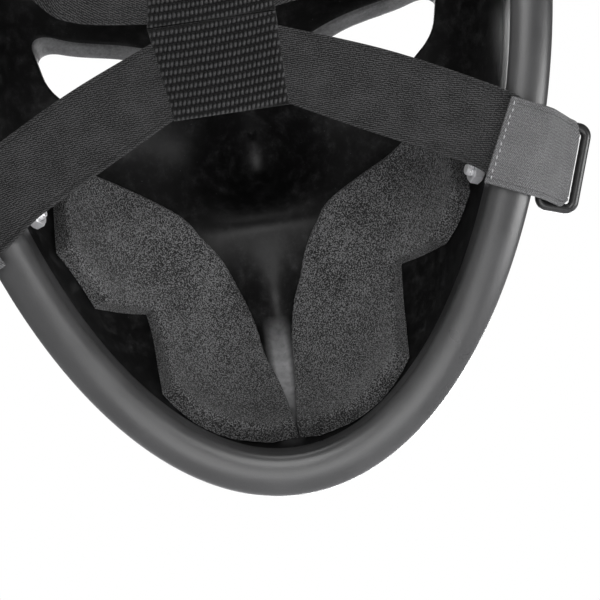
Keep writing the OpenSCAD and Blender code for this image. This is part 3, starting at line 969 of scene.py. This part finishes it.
def strap_end(level, side):
    """The strap's end: round the slide's middle bar and back over itself, loop face outwards."""
    s = 1 if side == "left" else -1
    f = knuckle_frame(level)
    top = TRIM_CROWN - KNUCKLE_V + STRAP_T * 1.5 + 1.2
    free = TAB_LENGTH.get((level, side), 18.5)
    wrap_r = WIRE_D / 2 + 0.1 + STRAP_T / 2
    wide, narrow = TAB_W / 2, SLIDE_INNER / 2 - 0.5
    lift, rise = TAB_LINE.get((level, side), (0, 0))

    def aside(x, share):
        """Sideways place of the middle line; share is 1 in the free layer, 0 inside the slide."""
        return lift * 0.1 + share * (0.9 * lift - rise * x)

    line = [(-free, top, wide, 1), (-(free + 7) / 2, top, wide, 1), (-6, top - 0.1, wide, 1),
            (-3, top - 1.3, wide, 1), (0.5, top - 4, wide - 0.1, 0.9),
            (3.5, top - 6.6, wide - 0.2, 0.7)]
    for turn, w, share in ((75, wide - 0.4, 0.45), (45, narrow + 0.6, 0.15), (20, narrow + 0.1, 0),
                           (-10, narrow, 0), (-40, narrow, 0), (-70, narrow, 0), (-100, narrow, 0),
                           (-135, narrow, 0), (-165, narrow, 0)):
        t = math.radians(turn)
        line.append((KNUCKLE_PITCH + wrap_r * math.cos(t), wrap_r * math.sin(t), w, share))
    line += [(3.25, 1.6, narrow, 0), (2.3, 3.6, narrow, 0), (-0.3, 5.2, narrow, 0.1),
             (-4.2, 7.2, narrow + 0.8, 0.5)]
    path = smooth_path([(x, y, aside(x, share), w) for x, y, w, share in line], 0.7)
    centres = np.array([f.at(x, y, z) for x, y, z, _ in path])
    halves = np.array([f.along(rise * 1.3 * w * ease(-x / 8), 0, w) for x, *_, w in path])
    name = f"{level}_{side}"
    obj = ribbon("loop_tab_" + name, centres, halves, STRAP_T, LOOP_FACE, groove=0.3,
                 groove_at=1.7, step=0.8, mirror=s < 0)
    place(f.at(4.2, 3, 0), s)
    place(f.at(-2, 3, 0), s)
    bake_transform(obj)
    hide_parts("strap_end_" + name)
    hem_x = 1.3 - free
    hem_stitches(name, s, f, hem_x, top, aside(hem_x, 1), rise * 1.3)


def hem_stitches(name, s, f, x, y, z, skew):
    """Row of pale stitches across the free end of the tab."""
    points, faces = [], []
    pitch, long_r, wide_r = 2.1, 0.62, 0.24
    count = 12
    rows, cols = 6, 10
    ball = lathe([(math.cos(t), math.sin(t)) for t in np.radians(np.linspace(-80, 80, rows))], cols)
    for i in range(count):
        w = z + (i - (count - 1) / 2) * pitch
        at = f.at(x + skew * (w - z) + 0.12 * (-1) ** i, y + STRAP_T / 2, w)
        points.append(at + (ball * [wide_r, wide_r, long_r]) @ f.axes)
        faces += band_faces(rows, cols, i * rows * cols, caps=True)
    obj = mesh_object("tab_stitches_" + name, np.concatenate(points), faces, THREAD, "mask", mirror=s < 0)


def patch_half(name, node, low, slit_side):
    """Half of the back patch: coarse rows of stitches, pitted between, rounded at its edges."""
    step = 0.24
    cols, rows = round(PATCH_W / step), round(PATCH_HALF_H / step)
    u, v = np.meshgrid(np.linspace(-1, 1, cols), np.linspace(0, 1, rows))
    z = low + v * PATCH_HALF_H
    x = PATCH_X + u * PATCH_W / 2 + (1 + u) / 2 * slit_side * PATCH_LEAN * (2 * v - 1)
    rib, stitch = 2.4, 1.35
    bow, slope = 0.00176, 0.05
    row = (z - bow * (x - PATCH_X) ** 2 + slope * (x - PATCH_X)) / rib
    line = np.floor(row)
    ridge = np.abs(np.sin(np.pi * row)) ** 0.7
    lean = (row - line - 0.5) * 0.5
    loops = np.sin(np.pi * (x / stitch + 0.5 * line + lean)) ** 2
    hole = (1 - loops) * bell((row - line - 0.42) / 0.22)
    fade = ease((1 - np.abs(u)) / 0.06) * ease(np.minimum(v, 1 - v) / 0.05)
    height = 0.5 * ridge + 0.4 * loops * ridge - 0.5 * hole * fade
    edge_x = (1 - np.abs(u)) * PATCH_W / 2
    edge_z = np.minimum(v, 1 - v) * PATCH_HALF_H
    roll = PATCH_T / 2
    fall = np.clip(1 - np.clip(np.minimum(edge_x, edge_z) / roll, 0, 1), 0, 1)
    body = (roll - 0.85) * np.sqrt(1 - fall**2) + height * (0.35 + 0.65 * (1 - fall))
    body = np.maximum(body, 0.15)
    front = np.stack([x, PATCH_Y + body, z], -1).reshape(-1, 3)
    back = np.stack([x, PATCH_Y - body, z], -1).reshape(-1, 3)
    faces = band_faces(rows, cols, closed_cols=False)
    n = rows * cols
    faces = faces + [[i + n for i in reversed(f)] for f in faces]
    number = np.arange(n).reshape(rows, cols)
    border = [*number[0], *number[1:, -1], *number[-1, -2::-1], *number[-2:0:-1, 0]]
    faces += [[p, q, q + n, p + n] for p, q in zip(border, border[1:] + border[:1])]
    stitches = np.stack([x / stitch + 0.5 * line + lean, row], -1).reshape(-1, 2)
    obj = mesh_object(name, np.concatenate([front, back]), faces, KNIT, "harness", crease=180,
                      uv=np.tile(stitches, (2, 1)))
    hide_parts(node)


# -------------------- hardware


def wire_slide(level, side):
    """Rounded ring of wire with a middle bar welded across it."""
    f = knuckle_frame(level)
    half, corner = (SLIDE_INNER + WIRE_D) / 2, SLIDE_CORNER
    near, far = corner, KNUCKLE_PITCH + BAR_PITCH - corner
    ring = []
    for first, cx, cz in ((0, far, half - corner), (90, near, half - corner),
                          (180, near, corner - half), (270, far, corner - half)):
        for t in np.radians(np.linspace(first, first + 90, 10)):
            ring.append((cx + corner * math.cos(t), cz + corner * math.sin(t)))
    dense = []
    for (x0, z0), (x1, z1) in zip(ring, ring[1:] + ring[:1]):
        steps = max(1, round(math.dist((x0, z0), (x1, z1)) / 1.5))
        dense += [(x0 + (x1 - x0) * i / steps, z0 + (z1 - z0) * i / steps) for i in range(steps)]
    points, faces = tube([f.at(x, 0, z) for x, z in dense], WIRE_D / 2, True)
    bar = [f.at(KNUCKLE_PITCH, 0, t * half) for t in np.linspace(-1, 1, 25)]
    more, bar_faces = tube(bar, WIRE_D / 2, False)
    faces = faces + [[i + len(points) for i in face] for face in bar_faces]
    name = f"{level}_{side}"
    obj = mesh_object("wire_slide_" + name, np.concatenate([points, more]), faces, WIRE_PAINT,
                      "slide_" + name, mirror=side == "right")
    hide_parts("strap_slide_" + name)


def anchor_plate(level, side):
    """Bent strip: foot under the screw head, link past the trim, knuckle round the slide's bar."""
    foot, f = foot_frame(level), knuckle_frame(level)
    half = PLATE_W / 2
    rows = []
    for x in np.linspace(-8, 8, 17):
        end = np.clip((x + 8) / 5, 0, 1)
        wide = half - 3.2 * (1 - math.sqrt(max(0, 1 - (1 - end) ** 2)))
        rows.append((foot.at(x, 0, 0.05 + PLATE_T / 2), foot.along(0, wide, 0)))
    middle_r = WIRE_D / 2 + 0.1 + PLATE_T / 2
    rows.append((f.at(-middle_r + 0.8, -9, 0), f.along(0, 0, half)))
    rows.append((f.at(-middle_r + 0.25, -4.5, 0), f.along(0, 0, half)))
    for t in np.radians(np.arange(180, -121, -20)):
        rows.append((f.at(middle_r * math.cos(t), middle_r * math.sin(t), 0), f.along(0, 0, half)))
    for i, (_, w) in enumerate(rows):
        if w @ rows[-1][1] < 0:
            rows[i] = (rows[i][0], -w)
    path = smooth_path([np.concatenate(r) for r in rows], 0.7)
    name = f"{level}_{side}"
    obj = ribbon("bent_plate_" + name, path[:, :3], path[:, 3:], PLATE_T, PLATE_PAINT, body="mask",
                 step=1, mirror=side == "right")
    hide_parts("anchor_plate_" + name)


def hexagon(across):
    """Radius of a hexagon at each turn, for a width across flats."""
    return lambda turn: across / 2 / np.cos((turn + math.pi / 6) % (math.pi / 3) - math.pi / 6)


def fastener(level, side, name, node, local, faces, crease):
    """Zinc piece on a screw's axis, its points given in the screw's frame."""
    f = screw_frame(level, side)
    ending = f"_{level}_{side}"
    obj = mesh_object(name + ending, f.origin + local @ f.axes, faces, ZINC, "mask", crease,
                      mirror=side == "right")
    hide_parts(node + ending)


def anchor_screw(level, side):
    """Pan-head screw with a hex socket and a rolled thread."""
    cols = 72
    tip = -(WALL_T + NUT_GAP + NUT_H + 2)
    head_low, head_top = PLATE_T + 0.05, PLATE_T + 0.05 + HEAD_H
    pitch, depth = 0.7, 0.28
    socket = hexagon(2.5)

    def thread(radius, height, turn):
        run = ease((height - tip) / 0.8)
        phase = (height / pitch - turn / math.tau) % 1
        cut = depth * (1 - np.abs(2 * phase - 1)) * np.where(height < 0, 1, 0)
        return (radius - cut) * (0.8 + 0.2 * run)

    shank_r = SCREW_D / 2
    dome = [(HEAD_D / 2 * math.cos(t), head_low + 0.5 + (HEAD_H - 0.5) * math.sin(t))
            for t in np.radians(np.linspace(0, 62, 10))]
    local = np.concatenate([
        lathe([(0.02, tip), (shank_r * 0.7, tip)], cols),
        lathe([(shank_r, h) for h in np.arange(tip, -0.2, pitch / 8)], cols, thread),
        lathe([(shank_r, 0), (shank_r, head_low), (HEAD_D / 2, head_low)] + dome
              + [(1.75, head_top - 0.18), (1.6, head_top - 0.2)], cols),
        lathe([(0, head_top - 0.35), (0, head_top - 1.4)], cols, lambda r, h, turn: socket(turn)),
        lathe([(0.9, head_top - 1.5), (0.02, head_top - 1.7)], cols)])
    faces = band_faces(len(local) // cols, cols, caps=True)
    fastener(level, side, "threaded_screw", "anchor_screw", local, faces, 35)


def anchor_nut(level, side):
    """Hexagon nut with chamfered corners and a countersunk hole."""
    cols = 96
    flat = hexagon(NUT_ACROSS)
    low = -WALL_T - NUT_GAP - NUT_H
    corner = NUT_ACROSS / math.sqrt(3)

    def outside(radius, height, turn):
        inset = np.minimum(height - low, low + NUT_H - height)
        return np.minimum(flat(turn), corner - 0.55 + np.clip(inset, 0, 2) * 1.7)

    bore = SCREW_D / 2 + 0.06
    heights = low + NUT_H * np.array([0, 0.05, 0.1, 0.15, 0.3, 0.5, 0.7, 0.85, 0.9, 0.95, 1])
    local = np.concatenate([
        lathe([(0, h) for h in heights], cols, outside),
        lathe([(bore + 0.4, low + NUT_H), (bore, low + NUT_H - 0.35), (bore, low + 0.35),
               (bore + 0.4, low)], cols)])
    faces = band_faces(len(local) // cols, cols, closed_rows=True)
    fastener(level, side, "hex_nut", "anchor_nut", local, faces, 30)


# -------------------- camera and light


def camera():
    """Straight behind the wearer's side of the mask, rolled a little."""
    data = bpy.data.cameras.new("camera")
    data.sensor_width = 36
    data.lens = 108.9
    obj = bpy.data.objects.new("camera", data)
    roll = math.radians(8.4)
    right = Vector((-math.cos(roll), 0, -math.sin(roll)))
    up = Vector((-math.sin(roll), 0, math.cos(roll)))
    turned = Matrix((right, up, Vector((0, 1, 0)))).transposed()
    obj.matrix_world = Matrix.Translation((-0.008, 0.55, -0.0651)) @ turned.to_4x4()
    bpy.context.scene.collection.objects.link(obj)
    bpy.context.scene.camera = obj


def soft_light(name, origin, target, size, power):
    data = bpy.data.lights.new(name, "AREA")
    data.shape = "DISK"
    data.size = size
    data.energy = power
    obj = bpy.data.objects.new(name, data)
    obj.location = origin
    obj.rotation_mode = "QUATERNION"
    obj.rotation_quaternion = (Vector(target) - Vector(origin)).to_track_quat("-Z", "Y")
    obj.visible_camera = False
    bpy.context.scene.collection.objects.link(obj)


def studio():
    """White studio: the world is white where the camera looks past the object."""
    scene = bpy.context.scene
    scene.view_settings.view_transform = "Standard"
    world = bpy.data.worlds.new("studio")
    scene.world = world
    world.use_nodes = True
    nodes, links = world.node_tree.nodes, world.node_tree.links
    dim, bright = nodes["Background"], nodes.new("ShaderNodeBackground")
    for background, strength in ((dim, 0.22), (bright, 1.0)):
        background.inputs["Color"].default_value = (1, 1, 1, 1)
        background.inputs["Strength"].default_value = strength
    ray = nodes.new("ShaderNodeLightPath")
    mix = nodes.new("ShaderNodeMixShader")
    links.new(ray.outputs["Is Camera Ray"], mix.inputs["Fac"])
    links.new(dim.outputs["Background"], mix.inputs[1])
    links.new(bright.outputs["Background"], mix.inputs[2])
    links.new(mix.outputs["Shader"], nodes["World Output"].inputs["Surface"])

    soft_light("key", (-0.85, 0.35, -0.5), (0, 0, -0.03), 0.8, 20)
    soft_light("fill", (0.8, 0.6, 0.1), (0, 0, 0), 1.1, 1)
    soft_light("front", (-0.05, 1.15, 0.3), (0, 0, 0), 0.7, 7)
    soft_light("below", (0, 0.5, -0.38), (0, 0, -0.08), 0.5, 2.2)
    soft_light("behind", (0.1, -0.9, 0.25), (0, 0, 0), 1.0, 14)
    soft_light("behind_low", (-0.15, -0.7, -0.38), (0, 0, 0.03), 0.5, 8)
    soft_light("top", (0, 0.2, 1.1), (0, 0, 0), 1.0, 6)

    mesh = bpy.data.meshes.new("floor")
    reach, floor_z = 0.9, -0.42
    mesh.from_pydata([(-reach, -reach, floor_z), (reach, -reach, floor_z), (reach, reach, floor_z),
                      (-reach, reach, floor_z)], [], [(0, 1, 2, 3)])
    floor = bpy.data.objects.new("floor", mesh)
    bpy.context.scene.collection.objects.link(floor)
    paper = Look("pale_paper", Specular_IOR_Level=0.1)
    tone = paper.noise(300, 2)
    mesh.materials.append(paper.connect(Base_Color=paper.grey(tone, 0.3, 0.7, 0.88, 0.92),
                                        Roughness=paper.span(tone, 0.3, 0.7, 0.8, 0.9)))


# -------------------- build

camera()
studio()
shell()
edge_trim()
cheek_pad("left", -63.5)
cheek_pad("right", -59)
forehead_pad()
patch_half("knitted_patch_lower", "patch_lower", PATCH_SLIT_Z - 0.2 - PATCH_HALF_H, 1)
patch_half("knitted_patch_upper", "patch_upper", PATCH_SLIT_Z + 0.2, -1)
for level in LEVELS:
    for side in SIDES:
        strap(level, side)
        strap_end(level, side)
        wire_slide(level, side)
        anchor_plate(level, side)
        anchor_screw(level, side)
        anchor_nut(level, side)
